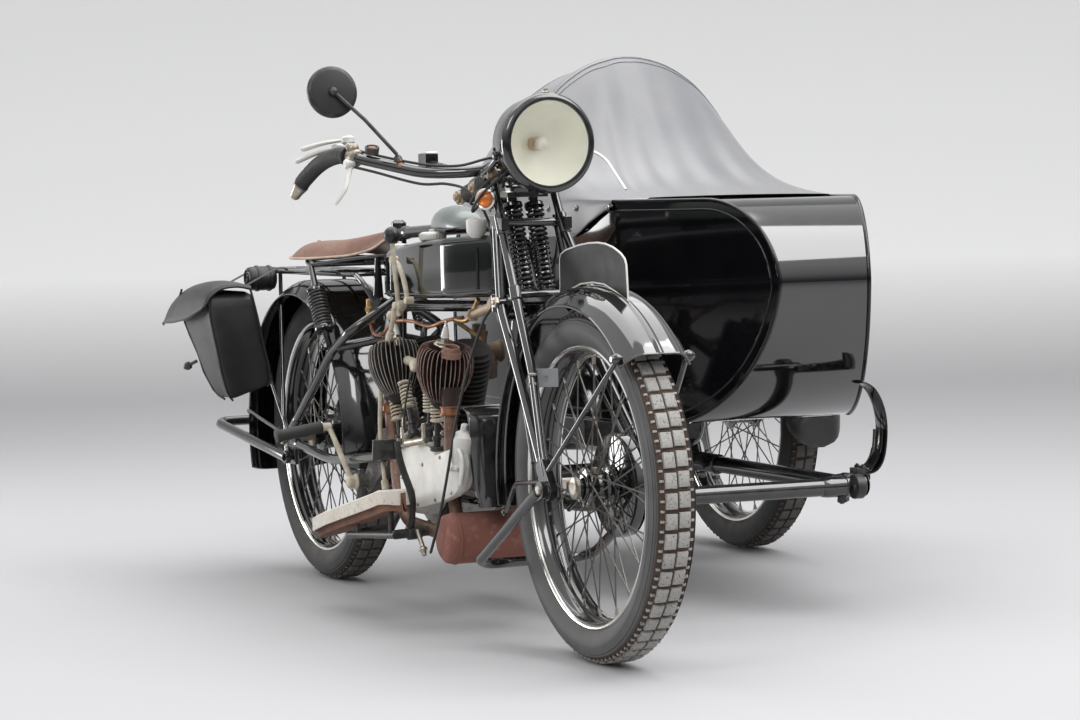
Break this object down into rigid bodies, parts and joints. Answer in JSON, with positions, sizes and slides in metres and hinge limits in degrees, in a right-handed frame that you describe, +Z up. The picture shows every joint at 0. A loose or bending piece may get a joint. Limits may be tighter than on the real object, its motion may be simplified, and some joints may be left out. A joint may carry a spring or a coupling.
{
  "type": "sidecar motorcycle",
  "caption": "Vintage side-valve V-twin motorcycle with girder fork, joined to a sports sidecar whose cloth hood is raised.",
  "frame": {"origin": "on the ground, under the middle of the whole outfit's box", "axes": "forward is -Y, the motorcycle's right side is -X, the sidecar is towards +X, +Z is up"},
  "size_m": [1.4914, 2.2546, 1.204],
  "materials": {
    "black_enamel": "gloss enamel over brazed steel",
    "cast_alloy": "dull cast aluminium",
    "cast_iron": "sooty cast iron with rust in the fins",
    "bare_steel": "worn nickel and bare steel",
    "rusty_steel": "heat-browned steel",
    "tyre": "dusty rubber",
    "grip_rubber": "moulded black rubber",
    "saddle_leather": "worn tan leather",
    "bag_leather": "grained black hide",
    "hood_cloth": "black coated cloth",
    "lens": "ribbed lamp glass",
    "plate": "blank black plate",
    "trim_leather": "brown sidecar upholstery"
  },
  "bodies": {
    "machine": {"front_frame": "black_enamel", "rear_frame": "black_enamel", "rear_axles": "bare_steel", "crankcase": "cast_alloy", "front_cylinder": "cast_iron", "rear_cylinder": "cast_iron", "timing_cover": "cast_alloy", "valve_gear": "bare_steel", "gearbox": "cast_alloy", "primary_case": "black_enamel", "rear_chain": "bare_steel", "exhaust": "rusty_steel", "carburettor": "bare_steel", "petrol_tank": "black_enamel", "saddle": "saddle_leather", "saddle_springs": "black_enamel", "rear_mudguard": "black_enamel", "luggage_rack": "black_enamel", "pannier_bag": "bag_leather", "controls": "bare_steel", "undershield": "black_enamel", "sidecar_chassis": "black_enamel", "sidecar_sides": "black_enamel", "sidecar_wrap": "black_enamel", "sidecar_seat": "trim_leather", "sidecar_hood": "hood_cloth", "sidecar_mudguard": "black_enamel", "sidecar_springs": "black_enamel"},
    "fork": {"fork_girder": "black_enamel", "front_axle": "bare_steel", "fork_links": "black_enamel", "fork_springs": "black_enamel", "handlebar": "black_enamel", "bar_fittings": "bare_steel", "headlamp": "black_enamel", "headlamp_lens": "lens", "front_mudguard": "black_enamel", "number_plate": "plate"},
    "front_wheel": {"front_wheel": "black_enamel", "front_tyre": "tyre"},
    "rear_wheel": {"rear_wheel": "black_enamel", "rear_tyre": "tyre"},
    "sidecar_wheel": {"sidecar_wheel": "black_enamel", "sidecar_tyre": "tyre"},
    "front_stand": {"front_stand": "black_enamel"},
    "rear_stand": {"rear_stand": "black_enamel"},
    "sidecar_door": {"sidecar_door": "black_enamel"}
  },
  "joints": [
    {"name": "steering", "type": "hinge", "parent": "machine", "child": "fork", "pos_m": [-0.39432, -0.41233, 0.78], "axis": [0, 0.4848, 0.8746], "range_deg": [-30, 30]},
    {"name": "front_wheel_spin", "type": "hinge", "parent": "fork", "child": "front_wheel", "pos_m": [-0.39432, -0.79233, 0.335], "axis": [1, 0, 0], "continuous": true},
    {"name": "rear_wheel_spin", "type": "hinge", "parent": "machine", "child": "rear_wheel", "pos_m": [-0.39432, 0.70767, 0.335], "axis": [1, 0, 0], "continuous": true},
    {"name": "sidecar_wheel_spin", "type": "hinge", "parent": "machine", "child": "sidecar_wheel", "pos_m": [0.67168, 0.68067, 0.335], "axis": [1, 0, 0], "continuous": true},
    {"name": "front_stand_swing", "type": "hinge", "parent": "fork", "child": "front_stand", "pos_m": [-0.39432, -0.79233, 0.335], "axis": [-1, 0, 0], "range_deg": [0, 60]},
    {"name": "rear_stand_swing", "type": "hinge", "parent": "machine", "child": "rear_stand", "pos_m": [-0.39432, 0.67767, 0.293], "axis": [-1, 0, 0], "range_deg": [0, 100]},
    {"name": "sidecar_door_swing", "type": "hinge", "parent": "machine", "child": "sidecar_door", "pos_m": [0.55568, 0.01967, 0.66], "axis": [0, 0, -1], "range_deg": [0, 70]}
  ]
}
